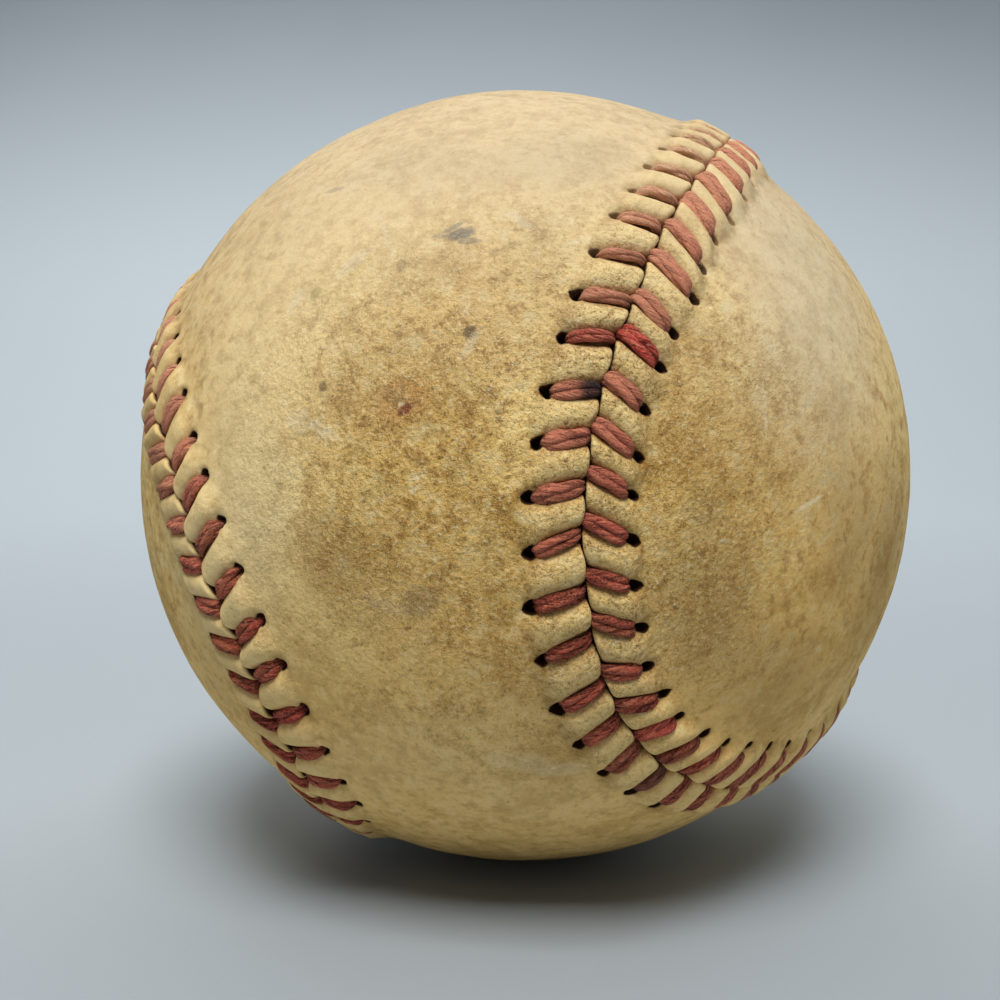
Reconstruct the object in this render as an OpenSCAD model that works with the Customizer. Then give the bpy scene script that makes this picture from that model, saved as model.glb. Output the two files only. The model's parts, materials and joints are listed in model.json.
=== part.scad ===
// A hand-sewn baseball: rubber-cased cork core, wool windings, two interlocking
// figure-eight leather panels and two waxed threads in one double-stitched seam.

/* [Ball] */
// Diameter over the leather, away from the seam
ball_d = 73.7; // [72:0.1:76]
// Thickness of the leather cover
leather_t = 1.3; // [1.1:0.05:1.6]

/* [Seam shape] */
// Width of a panel's neck, seam to seam over the curve
neck_w = 28.8; // [26:0.1:32]
// How far the seam swings to each side of an even turn, in degrees
swing_angle = 21.3; // [20:0.1:23]
// Second, smaller swing that squares the lobes, in degrees
second_swing_angle = 1.3; // [0:0.1:2]
// Gap between the two panels' edges
seam_gap = 0.5; // [0.5:0.05:0.7]

/* [Stitches] */
// Number of double stitches, in fours so that both panels match
stitch_n = 108; // [104:4:112]
// Distance of a stitch hole from the seam, over the leather
stitch_reach = 4; // [3.8:0.1:4.4]
// Diameter of a punched stitch hole
hole_d = 1.3; // [1.2:0.05:1.5]
// How far the legs of one side run ahead along the seam before they dip
short_lead = 1.2; // [1:0.1:1.3]
// How far the legs of the other side run ahead along the seam before they dip
long_lead = 2.6; // [2.5:0.1:2.7]

/* [Thread] */
// Width of the thread where it lies on the leather
thread_w = 1.15; // [0.9:0.05:1.25]
// Thickness of the thread where it lies on the leather
thread_t = 0.7; // [0.6:0.05:0.8]
// Width of the thread inside the seam, measured along the seam
dip_w = 0.75; // [0.6:0.05:0.85]
// Thickness of the thread inside the seam and under the leather
dip_t = 0.4; // [0.3:0.05:0.45]

/* [Raised leather between stitches] */
// Height of the pads that the thread draws up beside the seam
pad_h = 0.45; // [0.3:0.05:0.5]
// Radius of a pad's back, square to the seam
pad_back_r = 6; // [5:0.25:7]
// Radius of a pad across its back, along the seam
pad_cross_r = 1.2; // [1:0.1:1.3]

/* [Core] */
// Diameter of the finished rubber-cased centre
pill_d = 34.9; // [34:0.1:36]
// Thickness of the red rubber case
case_t = 2.4; // [1.6:0.1:3]
// Thickness of the black half shells round the cork core
shell_t = 4.55; // [4:0.05:5]
// Thickness of the washer between the black half shells
washer_t = 0.8; // [0.6:0.1:1.2]

/* [Windings] */
// Thickness of the white three-ply wool winding
white_wool_t = 1.8; // [1.2:0.1:2.4]
// Thickness of the outer grey three-ply wool winding
outer_wool_t = 2.2; // [1.6:0.1:2.8]
// Thickness of the cotton finishing winding
cotton_t = 1; // [0.8:0.1:1.4]
// Thickness of the rubber cement under the leather
cement_t = 0.15; // [0.1:0.05:0.25]
// Free space between one layer and the next
layer_gap = 0.1; // [0.05:0.05:0.15]

/* [How the ball lies] */
// Turns of the seam about X, Y and Z that give its lie at rest
rest_turns = [-23.7, 60.7, 48.4];

/* [Hidden] */

$fn = 96;

// Shares, chosen by eye, of the sizes that they follow
lobe_share = 0.014;
first_stitch_share = 0.32;
hole_top_share = 0.9;
leg_root_share = 0.85;
pad_place_share = 0.6;
pad_root_share = 0.24;
strand_shoulder_share = 0.62;
wedge_share = 1.3;

// Radii of the layers, from the leather inwards
ball_r = ball_d / 2;
flesh_r = ball_r - leather_t;
cement_r = flesh_r - layer_gap;
cotton_r = cement_r - cement_t - layer_gap;
outer_wool_r = cotton_r - cotton_t - layer_gap;
white_wool_r = outer_wool_r - outer_wool_t - layer_gap;
inner_wool_r = white_wool_r - white_wool_t - layer_gap;
pill_r = pill_d / 2;
shell_r = pill_r - case_t - layer_gap;
cork_r = shell_r - shell_t - layer_gap;

// Angles, and the number of points round the seam
degree_per_radian = 180 / PI;
neck_angle = neck_w / 2 / ball_r * degree_per_radian;
seam_turn = 720;
walk_angle = 1;
tangent_angle = 0.5;
edge_n = 2 * stitch_n;
pad_half_angle = 40;

// The thread's bed under the leather
under_r = flesh_r - layer_gap - dip_t / 2;
bed_r = under_r - dip_t / 2 - 2 * layer_gap;
bed_half_w = stitch_reach + hole_d;
ring_sides = 6;
rings_a_stitch = 4;
thread_top_r = ball_r + thread_t / 2 + layer_gap / 2;

// Far enough out to clear every raised part of the cover
wedge_r = ball_r * wedge_share;
overrun = leather_t;

leather_colour = [0.80, 0.70, 0.50];
thread_colour = [0.63, 0.33, 0.29];

// Direction of the seam from the ball's centre, for an angle from 0 to 720
function seam_polar(a) = 90 - (90 - neck_angle) * (cos(a) + lobe_share * (cos(a) - cos(3 * a)));
function seam_heading(a) = a / 2 + swing_angle * sin(2 * a) + second_swing_angle * sin(4 * a);
function seam_dir(a) =
    let (p = seam_polar(a), h = seam_heading(a))
    [sin(p) * cos(h), sin(p) * sin(h), cos(p)];
function unit(v) = v / norm(v);
function seam_along(a) = unit(seam_dir(a + tangent_angle) - seam_dir(a - tangent_angle));

// Length walked along the seam on a ball of radius 1, paired with the angle reached
seam_walk = [
    for (a = 0, s = 0; a <= seam_turn; a = a + walk_angle, s = s + norm(seam_dir(a) - seam_dir(a - walk_angle)))
        [s, a]
];
seam_len = seam_walk[len(seam_walk) - 1][0];
stitch_pitch = seam_len * ball_r / stitch_n;

// Angle of the seam after so many stitches
function seam_angle(stitches) =
    let (turns = stitches / stitch_n)
    lookup((turns - floor(turns)) * seam_len, seam_walk);

// Direction that lies so many stitches along the seam and so far across it
function cover_dir(stitches, across) =
    let (
        a = seam_angle(stitches),
        d = seam_dir(a),
        n = cross(d, seam_along(a)),
        w = across / ball_r * degree_per_radian
    )
    cos(w) * d + sin(w) * n;

// Stations of the stitches: hole, and the place in the seam where its leg dips
function hole_at(i) = first_stitch_share - i;
function lead_of(side) = side > 0 ? long_lead : short_lead;
function dip_at(i, side) = hole_at(i) - lead_of(side) / stitch_pitch;

// One thread uses the holes of the two panels in turn
function side_of(i, first) = i % 2 == 0 ? first : -first;

// Four rings of a stitch: up through the hole, over its edge, at the seam and under it
function stitch_rings(i, side) = [
    [cover_dir(hole_at(i), side * stitch_reach) * under_r, dip_w, thread_t * leg_root_share],
    [
        cover_dir(hole_at(i), side * stitch_reach * hole_top_share) * thread_top_r,
        thread_w, thread_t
    ],
    [
        cover_dir(dip_at(i, side), 0) * (ball_r + thread_t / 2),
        thread_w * leg_root_share, thread_t * leg_root_share
    ],
    [cover_dir(dip_at(i, side), 0) * under_r, dip_w, dip_t]
];
function thread_route(first) = [
    for (i = [0:stitch_n - 1]) each stitch_rings(i, side_of(i, first))
];

// Direction along the seam below a ring, which its width follows
function ring_lie(i) =
    let (stitch = floor(i / rings_a_stitch), a = seam_angle(hole_at(stitch)))
    seam_along(a);

// Corners of one ring, a flattened hexagon square to the thread
function ring_points(route, i) =
    let (
        n = len(route),
        before = route[(i + n - 1) % n][0],
        here = route[i][0],
        after = route[(i + 1) % n][0],
        ahead = unit(unit(after - here) + unit(here - before)),
        lie = ring_lie(i),
        wide = unit(lie - (lie * ahead) * ahead),
        high = cross(ahead, wide),
        w = route[i][1] / 2,
        h = route[i][2] / 2,
        shoulder = w * strand_shoulder_share
    )
    [
        here + w * wide, here + shoulder * wide + h * high, here - shoulder * wide + h * high,
        here - w * wide, here - shoulder * wide - h * high, here + shoulder * wide - h * high
    ];

// A closed thread, swept ring by ring round the whole seam
module thread(first) {
    route = thread_route(first);
    n = len(route);
    points = [for (i = [0:n - 1]) each ring_points(route, i)];
    faces = [
        for (i = [0:n - 1])
            let (here = i * ring_sides, next = (i + 1) % n * ring_sides)
            for (k = [0:ring_sides - 1])
                let (l = (k + 1) % ring_sides)
                each [
                    [here + k, next + k, next + l],
                    [here + k, next + l, here + l]
                ]
    ];
    polyhedron(points, faces);
}

// Turn from the seam's own axes to the ball's lie at rest
module at_rest() {
    rotate(rest_turns) children();
}

// A hollow ball
module layer(outer_r, inner_r) {
    difference() {
        sphere(r = outer_r);
        sphere(r = inner_r);
    }
}

// Everything that one panel may fill: a cone from the centre over its outline
module panel_wedge(side) {
    half_n = edge_n / 2;
    // The panel is even about a plane through its two lobe ends
    middle = side > 0 ? half_n / 2 : 0;
    edge = [
        for (i = [0:edge_n - 1])
            cover_dir((i + middle) / 2, side * seam_gap / 2) * wedge_r
    ];
    spine = [
        for (j = [1:half_n - 1])
            unit(edge[j] + edge[edge_n - j]) * wedge_r
    ];
    points = concat([[0, 0, 0]], edge, spine);
    function edge_id(i) = 1 + (i + edge_n) % edge_n;
    function spine_id(j) = edge_n + j;
    walls = [for (i = [0:edge_n - 1]) [0, edge_id(i), edge_id(i + 1)]];
    caps = [
        [edge_id(0), spine_id(1), edge_id(1)],
        [edge_id(0), edge_id(-1), spine_id(1)],
        for (j = [1:half_n - 2])
            each [
                [edge_id(j), spine_id(j), spine_id(j + 1)],
                [edge_id(j), spine_id(j + 1), edge_id(j + 1)],
                [edge_id(-j), spine_id(j + 1), spine_id(j)],
                [edge_id(-j), edge_id(-j - 1), spine_id(j + 1)]
            ],
        [edge_id(half_n - 1), spine_id(half_n - 1), edge_id(half_n)],
        [edge_id(half_n + 1), edge_id(half_n), spine_id(half_n - 1)]
    ];
    faces = concat(walls, caps);
    polyhedron(points, side > 0 ? faces : [for (f = faces) [f[2], f[1], f[0]]]);
}

// A band along the seam, between two radii, where the thread runs under the leather
module seam_band(inner_r, outer_r) {
    points = [
        for (i = [0:stitch_n - 1])
            let (left = cover_dir(i, -bed_half_w), right = cover_dir(i, bed_half_w))
            each [left * inner_r, right * inner_r, right * outer_r, left * outer_r]
    ];
    faces = [
        for (i = [0:stitch_n - 1])
            let (here = 4 * i, next = 4 * ((i + 1) % stitch_n))
            for (k = [0:3])
                let (l = (k + 1) % 4)
                each [
                    [here + k, next + k, next + l],
                    [here + k, next + l, here + l]
                ]
    ];
    polyhedron(points, faces);
}

// One pad, drawn up between two legs of the same side
module pad(i, side) {
    lead = lead_of(side) / stitch_pitch;
    foot = cover_dir(hole_at(i + 0.5), side * stitch_reach);
    head = cover_dir(hole_at(i + 0.5) - lead, 0);
    middle = unit(foot * pad_place_share + head * (1 - pad_place_share));
    lie = unit((head - foot) - ((head - foot) * middle) * middle);
    axis = cross(middle, lie);
    centre = (ball_r + pad_h - pad_back_r) * middle;
    root_r = pad_back_r - pad_h - pad_root_share * pad_h;
    multmatrix([
        [middle.x, lie.x, axis.x, centre.x],
        [middle.y, lie.y, axis.y, centre.y],
        [middle.z, lie.z, axis.z, centre.z]
    ])
        rotate(-pad_half_angle)
            rotate_extrude(angle = 2 * pad_half_angle)
                intersection() {
                    translate([pad_back_r - pad_cross_r, 0]) circle(r = pad_cross_r);
                    translate([root_r, -pad_cross_r]) square([pad_back_r, 2 * pad_cross_r]);
                }
}

// A stitch hole, punched square to the leather
module stitch_hole(i, side) {
    d = cover_dir(hole_at(i), side * stitch_reach);
    rotate([0, acos(d.z), atan2(d.y, d.x)])
        translate([0, 0, flesh_r - overrun]) cylinder(d = hole_d, h = leather_t + pad_h + 2 * overrun);
}

// One figure-eight panel of leather
module cover_panel(side) {
    color(leather_colour) at_rest() difference() {
        intersection() {
            union() {
                sphere(r = ball_r);
                for (i = [0:stitch_n - 1]) pad(i, side);
            }
            panel_wedge(side);
        }
        sphere(r = flesh_r);
        for (i = [0:stitch_n - 1]) stitch_hole(i, side);
    }
}

module cork_core() {
    color([0.72, 0.54, 0.36]) sphere(r = cork_r);
}

// A black half shell round the cork, seated on the washer
module rubber_shell(up) {
    color([0.10, 0.10, 0.11])
        mirror([0, 0, up ? 0 : 1])
            intersection() {
                layer(shell_r, cork_r + layer_gap);
                translate([-shell_r, -shell_r, washer_t / 2 + layer_gap])
                    cube([2 * shell_r, 2 * shell_r, shell_r]);
            }
}

module rubber_shell_upper() {
    rubber_shell(true);
}

module rubber_shell_lower() {
    rubber_shell(false);
}

module rubber_washer() {
    color([0.62, 0.16, 0.13])
        rotate_extrude()
            translate([cork_r + layer_gap, -washer_t / 2])
                square([shell_r - cork_r - 2 * layer_gap, washer_t]);
}

module rubber_case() {
    color([0.66, 0.18, 0.15]) layer(pill_r, pill_r - case_t);
}

module wool_winding_inner() {
    color([0.55, 0.54, 0.52]) layer(inner_wool_r, pill_r + layer_gap);
}

module wool_winding_white() {
    color([0.90, 0.88, 0.82]) layer(white_wool_r, inner_wool_r + layer_gap);
}

module wool_winding_outer() {
    color([0.60, 0.59, 0.57]) layer(outer_wool_r, white_wool_r + layer_gap);
}

// The last winding, pressed down along the seam where the thread runs under the leather
module cotton_winding() {
    color([0.93, 0.91, 0.86]) at_rest() difference() {
        layer(cotton_r, outer_wool_r + layer_gap);
        seam_band(bed_r, wedge_r);
    }
}

// Rubber cement under each panel, kept clear of the seam
module cement_coat() {
    color([0.85, 0.78, 0.58]) at_rest() difference() {
        layer(cement_r, cement_r - cement_t);
        seam_band(bed_r, wedge_r);
    }
}

module cover_panel_1() {
    cover_panel(-1);
}

module cover_panel_2() {
    cover_panel(1);
}

module seam_thread_1() {
    color(thread_colour) at_rest() thread(1);
}

module seam_thread_2() {
    color(thread_colour) at_rest() thread(-1);
}

cork_core();
rubber_shell_upper();
rubber_shell_lower();
rubber_washer();
rubber_case();
wool_winding_inner();
wool_winding_white();
wool_winding_outer();
cotton_winding();
cement_coat();
cover_panel_1();
cover_panel_2();
seam_thread_1();
seam_thread_2();
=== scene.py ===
# The looks of a worn, hand-sewn leather ball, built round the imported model.
# Lengths are in millimetres while a mesh is computed and in metres in Blender.
import json
import math

import bpy
import numpy as np
from mathutils import Euler, Matrix, Vector
from mathutils.geometry import delaunay_2d_cdt

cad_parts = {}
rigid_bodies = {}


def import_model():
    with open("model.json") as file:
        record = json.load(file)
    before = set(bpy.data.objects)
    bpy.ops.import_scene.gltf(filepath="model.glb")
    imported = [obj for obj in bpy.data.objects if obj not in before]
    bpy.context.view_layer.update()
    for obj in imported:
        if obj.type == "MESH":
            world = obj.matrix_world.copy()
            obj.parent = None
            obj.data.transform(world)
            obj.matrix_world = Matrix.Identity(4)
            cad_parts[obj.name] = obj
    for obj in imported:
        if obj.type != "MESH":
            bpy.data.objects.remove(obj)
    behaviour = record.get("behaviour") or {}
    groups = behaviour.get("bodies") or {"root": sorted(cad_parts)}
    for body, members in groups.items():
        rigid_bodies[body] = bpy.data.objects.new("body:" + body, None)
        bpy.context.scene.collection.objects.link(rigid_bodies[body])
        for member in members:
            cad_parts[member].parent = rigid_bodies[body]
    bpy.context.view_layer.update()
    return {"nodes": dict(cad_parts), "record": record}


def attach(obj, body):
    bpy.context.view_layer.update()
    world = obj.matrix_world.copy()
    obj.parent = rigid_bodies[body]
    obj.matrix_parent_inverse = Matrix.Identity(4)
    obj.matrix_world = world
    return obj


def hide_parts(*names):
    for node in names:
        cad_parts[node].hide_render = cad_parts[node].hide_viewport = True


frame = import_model()

METRE = 0.001
scene = bpy.context.scene

# The model's source, in millimetres and degrees. Side -1 is panel 1, and side 1 is panel 2
BALL_R = 36.85
LEATHER_T = 1.3
FLESH_R = BALL_R - LEATHER_T
NECK_W = 28.8
# How far the seam's heading swings, and how full its lobes are
SWING, SECOND_SWING, LOBE = 21.3, 1.3, 0.014
STITCHES = 108
# The holes' distance from the seam, how far a leg slants on its way there, and where stitch 0 lies
REACH = 4.0
LEAD = {-1: 1.2, 1: 2.6}
FIRST = 0.32
UNDER_R = FLESH_R - 0.3
REST_TURNS = (-23.7, 60.7, 48.4)

# The photograph's camera: where it stands and how it looks
CAMERA_AT = Vector((-0.002391, -0.132355, 0.009279))
CAMERA_TILT = math.radians(85)
CAMERA_LENS, SENSOR = 47.93, 36.0
CLIP_START = 0.005
PHOTO_SIDE = 1000

SEED = 20

# Smooth noise, the same on every run, with a shift that keeps its cells' numbers above 0
TABLE_SIDE = 64
NOISE_SHIFT = 500.3


def noise_table(seed):
    return np.random.default_rng(SEED + seed).random((TABLE_SIDE, TABLE_SIDE, TABLE_SIDE)) * 2 - 1


TABLES = [noise_table(i) for i in range(3)]


def noise(points, cell, table=0):
    """Smooth noise from -1 to 1 with bumps about one cell wide."""
    values = TABLES[table]
    q = points / cell + NOISE_SHIFT
    base = np.floor(q).astype(int)
    f = q - base
    f = f * f * (3 - 2 * f)
    shares = (1 - f, f)
    out = 0
    for dx, dy, dz in np.ndindex(2, 2, 2):
        share = shares[dx][..., 0] * shares[dy][..., 1] * shares[dz][..., 2]
        x, y, z = ((base[..., i] + step) % TABLE_SIDE for i, step in enumerate((dx, dy, dz)))
        out = out + share * values[x, y, z]
    return out


def smooth(x):
    x = np.clip(x, 0, 1)
    return x * x * (3 - 2 * x)


def unit(v):
    return v / np.linalg.norm(v, axis=-1, keepdims=True)


def way_along(line):
    """How far each point of a line lies from its first, as the line runs."""
    return np.concatenate([[0], np.cumsum(np.linalg.norm(np.diff(line, axis=0), axis=1))])


# The seam: one closed curve on the ball
REST = np.array(Euler([math.radians(a) for a in REST_TURNS], "XYZ").to_matrix())
NECK_ANGLE = math.degrees(NECK_W / 2 / BALL_R)


def seam_dir(a):
    r = np.radians(a)
    polar = np.radians(90 - (90 - NECK_ANGLE) * (np.cos(r) + LOBE * (np.cos(r) - np.cos(3 * r))))
    heading = np.radians(a / 2 + SWING * np.sin(2 * r) + SECOND_SWING * np.sin(4 * r))
    return np.stack(
        [np.sin(polar) * np.cos(heading), np.sin(polar) * np.sin(heading), np.cos(polar)], -1
    )


# The seam walked round in steps of a quarter degree, and how far it has come at each
WALK_A = np.linspace(0, 720, 2881)
WALK_S = way_along(seam_dir(WALK_A))
PITCH = WALK_S[-1] * BALL_R / STITCHES


def seam_frame(station):
    """Direction, and the directions along and across, at a station counted in stitches."""
    a = np.interp(station % STITCHES / STITCHES * WALK_S[-1], WALK_S, WALK_A)
    d = seam_dir(a)
    along = unit(seam_dir(a + 0.5) - seam_dir(a - 0.5))
    return d, along, np.cross(d, along)


def cover_dir(station, across):
    d, _, n = seam_frame(station)
    w = (across / BALL_R)[..., None]
    return np.cos(w) * d + np.sin(w) * n


# Columns of points along a panel's border, to each stitch and in all
PER = 20
COLUMNS = STITCHES * PER
# Hand sewing is a little uneven: each leg's hole and its place in the seam are off by a touch.
# Mean and spread in mm: along the seam at the hole, distance of the hole, along the seam at the dip
rng = np.random.default_rng(SEED)
LOOSE = {-1: ((0.05, 0.12), (0.0, 0.12), (0.2, 0.15)), 1: ((-0.35, 0.2), (0.0, 0.15), (0.5, 0.15))}
UNEVEN = {
    side: {
        "hole": rng.normal(*hole, STITCHES),
        "reach": rng.normal(*reach, STITCHES),
        "dip": rng.normal(*dip, STITCHES),
        "size": rng.normal(1, 0.08, STITCHES),
    }
    for side, (hole, reach, dip) in LOOSE.items()
}
# The same three values, judged for the photograph's right seam from leg SEEN_FROM on
SEEN_FROM = 69
SEEN = {
    -1: [
        (0.3, 0.0, 0.4), (0.35, -0.05, 0.5), (-0.05, 0.1, 0.5), (0.35, 0.1, 0.3), (0.4, 0.0, 0.45),
        (0.1, -0.2, 0.05), (0.3, -0.15, 0.4), (0.05, -0.25, 0.15), (0.0, 0.05, -0.05), (-0.05, -0.2, -0.3),
        (-0.05, 0.0, 0.3), (0.05, -0.15, 0.15), (0.25, 0.0, 0.6), (0.05, 0.0, 0.4), (0.05, 0.1, 0.1),
        (-0.15, -0.1, 0.6), (-0.15, 0.25, 0.3), (0.05, 0.3, 0.2),
    ],
    1: [
        (0.7, 0.1, 0.6), (0.55, -0.2, 0.7), (0.5, 0.0, 0.75), (-0.05, 0.45, 0.7), (0.1, -0.05, 1.15),
        (-0.4, -0.1, 0.7), (-0.3, -0.4, 0.75), (-0.15, -0.15, 0.6), (-0.75, -0.2, 0.3), (-0.8, 0.0, 0.1),
        (-0.65, 0.1, 0.35), (-0.4, 0.15, 0.15), (-0.2, -0.35, 0.8), (-0.4, -0.2, 0.5), (-0.8, -0.3, 0.55),
        (-0.4, 0.05, 0.5), (-0.8, 0.3, 0.1), (-1.0, 0.6, 0.1), (-0.9, 0.6, 0.2),
    ],
}
for side, legs in SEEN.items():
    for leg, values in enumerate(legs, SEEN_FROM):
        for key, value in zip(("hole", "reach", "dip"), values):
            UNEVEN[side][key][leg] = value
# How far the seam strays sideways from its even curve, in mm, at each stitch
STRAY = rng.normal(0, 0.12, STITCHES)
STRAY[70:86] = (-0.1, -0.2, -0.05, 0.2, 0.1, 0.15, 0.1, 0.25, 0.15, 0.4, 0.4, 0.35, 0.15, 0.1, 0.0, 0.25)
# The edge also weaves with each stitch: how far, from where in the stitch, and its mean place
WEAVE, WEAVE_FROM, WEAVE_SHIFT = 0.10, 0.05, 0.06
# Distances over which a leg's pull along the seam, a hole's unevenness and the stray die out
PULL_W, BULGE_W, STRAY_W = 2.4, 2.6, 3.4


def between(values, column):
    """A value that each leg has, read between the legs too."""
    c = column / PER
    low = np.floor(c).astype(int)
    f = smooth(c - low)
    return values[low % STITCHES] * (1 - f) + values[(low + 1) % STITCHES] * f


def place(side, column, across):
    """Direction of a point of one panel. A leg lies on column 0, PER, 2 PER and so on."""
    u = UNEVEN[side]
    inner = np.clip(1 - across / REACH, 0, None)
    near_seam = np.clip(inner, 0, 1)
    fade = 1 - smooth((across - REACH) / PULL_W)
    shift = between(u["hole"], column) * (1 - near_seam) + between(u["dip"], column) * near_seam
    station = FIRST + column / PER + (shift * fade - LEAD[side] * inner) / PITCH
    bulge = smooth(1 - np.abs(across - REACH) / BULGE_W)
    weave = WEAVE * np.cos(2 * math.pi * (station - WEAVE_FROM))
    stray = between(STRAY, station * PER) - weave - WEAVE_SHIFT
    stray = stray * (1 - smooth(across / STRAY_W))
    return cover_dir(station, side * (across + between(u["reach"], column) * bulge) + stray)


# Rows of a panel's stitched border: shares of its edge's height, turns of the edge's rounding in degrees,
# and distances from the seam
WALL_SHARES = [0.0, 0.45, 0.8]
ROUND_TURNS = [0, 18, 36, 54, 72, 90]
ROWS_IN = [0.75, 1.0, 1.26, 1.54, 1.84, 2.16, 2.5, 2.84]
ROW_STEP = 0.19
HOLE_ROW_AT = 3.9
ROWS_BESIDE = 4
ROWS_HOLE = [HOLE_ROW_AT + ROW_STEP * k for k in range(-ROWS_BESIDE, ROWS_BESIDE + 1)]
ROWS_OUT = [4.98, 5.42, 5.96, 6.56]
BORDER_W = 7.2
# Mean end of the rounded edge, and where the rows next to it stop making room for it
ROUND_END, SQUEEZE_END = 0.62, 2.6
# Heights of the swell beside the seam and of a pad on it, and depth of the valley between pads
SWELL_H, PAD_H, VALLEY_H = 0.28, 0.62, 0.16


def pad_shape(side, column, across):
    """Height over the ball of the leather beside the seam, and how much of it is pad."""
    phase = (column / PER + 0.5) % 1 - 0.5
    valley = 0.125 + 0.05 * np.exp(-across / 0.7) - 0.03 * smooth((across - 2) / 2)
    t = np.clip((np.abs(phase) - valley) / (0.5 - valley), 0, 1)
    pad = 1 - (1 - t) ** 2.5
    pad_size = between(UNEVEN[side]["size"], column + PER / 2)
    outer = 1 - smooth((across - 2.9) / 2.1)
    band = 1 - smooth((across - 1.6) / 4.6)
    height = SWELL_H * band + PAD_H * pad * outer * pad_size - VALLEY_H * (1 - pad) * outer
    return height, pad * outer


def ripple(raw, fine):
    """Small waves and dents of the leather, in millimetres."""
    broad = 0.12 * noise(raw, 17, 2) + 0.06 * noise(raw, 5.5, 2) + 0.035 * noise(raw, 2.1, 1)
    return broad + fine * 0.05 * noise(raw, 0.8, 0)


# Half width and half length of a hole, and how much its outer end narrows
HOLE_HALF_W, HOLE_HALF_L, HOLE_TAPER = 0.46, 0.54, 0.55


def hole_outline(k, n):
    """Point k of n round a teardrop that points away from the seam: along, across."""
    a = 2 * math.pi * k / n
    out = max(0.0, math.sin(a))
    x = HOLE_HALF_W * math.cos(a) * (1 - HOLE_TAPER * out**1.6)
    return x, HOLE_HALF_L * math.sin(a)


def ring_steps(k):
    """Grid steps round the square ring k, from +column towards +row."""
    steps = [(k, j) for j in range(0, k)]
    steps += [(i, k) for i in range(k, -k, -1)]
    steps += [(-k, j) for j in range(k, -k, -1)]
    steps += [(i, -k) for i in range(-k, k)]
    steps += [(k, j) for j in range(-k, 0)]
    return steps


# How open the holes are, by leg: nearly closed where the seam crosses the ball's upper side
HOLE_LEGS, HOLE_SHARES = (0, 30, 36, 46, 62, 70, 75, 108), (1.0, 1.0, 0.8, 0.6, 0.6, 0.68, 1.0, 1.0)
# Rings of grid points round a hole: size, share moved onto the outline, depth, darkness of its painted shade
HOLE_RINGS = {3: (1.28, 0.55, 0.06, 0.06), 2: (1.0, 1.0, 0.14, 0.7), 1: (0.74, 1.0, 1.12, 1.0)}
HOLE_DEPTH = 1.16


def border_rows(side, column):
    """Distance from the seam, radius and painted shade of the border's points, row by row: dark down the
    groove's wall and over the edge's rounding.
    """
    phase = (column / PER + 0.5) % 1 - 0.5
    other = (LEAD[-side] - LEAD[side]) / PITCH
    other_phase = (phase + other + 0.5) % 1 - 0.5
    edge = 0.03 + 0.20 * np.exp(-((phase / 0.15) ** 2)) + 0.04 * np.exp(-((other_phase / 0.12) ** 2))
    round_r = 0.38 + 0.24 * np.exp(-((phase / 0.2) ** 2))
    top_h = pad_shape(side, column, edge + round_r)[0]
    across, radius, pit = [], [], []
    for share in WALL_SHARES:
        across.append(edge)
        radius.append(FLESH_R + share * (BALL_R + top_h - round_r - FLESH_R))
        # Painted shade, darkest at the foot of the groove's wall
        pit.append(np.full(COLUMNS, 1.0 - 0.2 * share))
    for turn in ROUND_TURNS:
        t = math.radians(turn)
        across.append(edge + round_r * (1 - math.cos(t)))
        radius.append(BALL_R + top_h - round_r * (1 - math.sin(t)))
        # Painted shade that fades out over the edge's rounding
        pit.append(np.full(COLUMNS, 0.45 * (1 - turn / 90) ** 3))
    for w in ROWS_IN + ROWS_HOLE + ROWS_OUT:
        squeeze = np.clip((SQUEEZE_END - w) / (SQUEEZE_END - ROUND_END), 0, 1)
        across.append(w + (edge + round_r - ROUND_END) * squeeze)
        radius.append(BALL_R + pad_shape(side, column, across[-1])[0])
        pit.append(np.zeros(COLUMNS))
    return np.array(across), np.array(radius), np.array(pit)


def punch_holes(side, columns, across, radius, pit):
    """Moves the points near each hole onto its outline, sinks those inside and paints shade on them."""
    middle = len(WALL_SHARES) + len(ROUND_TURNS) + len(ROWS_IN) + ROWS_BESIDE
    draw = np.random.default_rng(SEED + 7 + side)
    for leg in range(STITCHES):
        opened = float(np.interp(leg, HOLE_LEGS, HOLE_SHARES))
        size = float(np.clip(1 + 0.12 * draw.standard_normal(), 0.82, 1.2)) * opened
        lean = 0.14 * draw.standard_normal()
        lumps = draw.uniform(0, 2 * math.pi, 2)
        for ring, (scale, share, drop, dark) in HOLE_RINGS.items():
            steps = ring_steps(ring)
            for k, (i, j) in enumerate(steps):
                x, y = hole_outline(k, len(steps))
                turn = 2 * math.pi * k / len(steps)
                lumpy = 1 + 0.10 * math.sin(3 * turn + lumps[0]) + 0.06 * math.sin(5 * turn + lumps[1])
                x, y = (x + lean * y) * scale * size * lumpy, y * scale * size * lumpy
                at = (middle + j, (leg * PER + i) % COLUMNS)
                columns[at] = leg * PER + i * (1 - share) + x / PITCH * PER * share
                across[at] = across[at] * (1 - share) + (HOLE_ROW_AT + y) * share
                radius[at] -= drop * opened
                pit[at] = max(pit[at], dark)
        # The hole's middle sinks deepest and gets the darkest painted shade
        radius[middle, leg * PER] -= HOLE_DEPTH * opened
        pit[middle, leg * PER] = 1.0


def grid_quads(index):
    """Quads between the closed rows of a grid of point numbers."""
    a, b = index[:-1], index[1:]
    return np.stack([a, np.roll(a, -1, 1), np.roll(b, -1, 1), b], -1).reshape(-1, 4)


# Where the finest ripples start to die out, and over what distance
FINE_END, FINE_FADE_W = 5.5, 1.5


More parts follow.
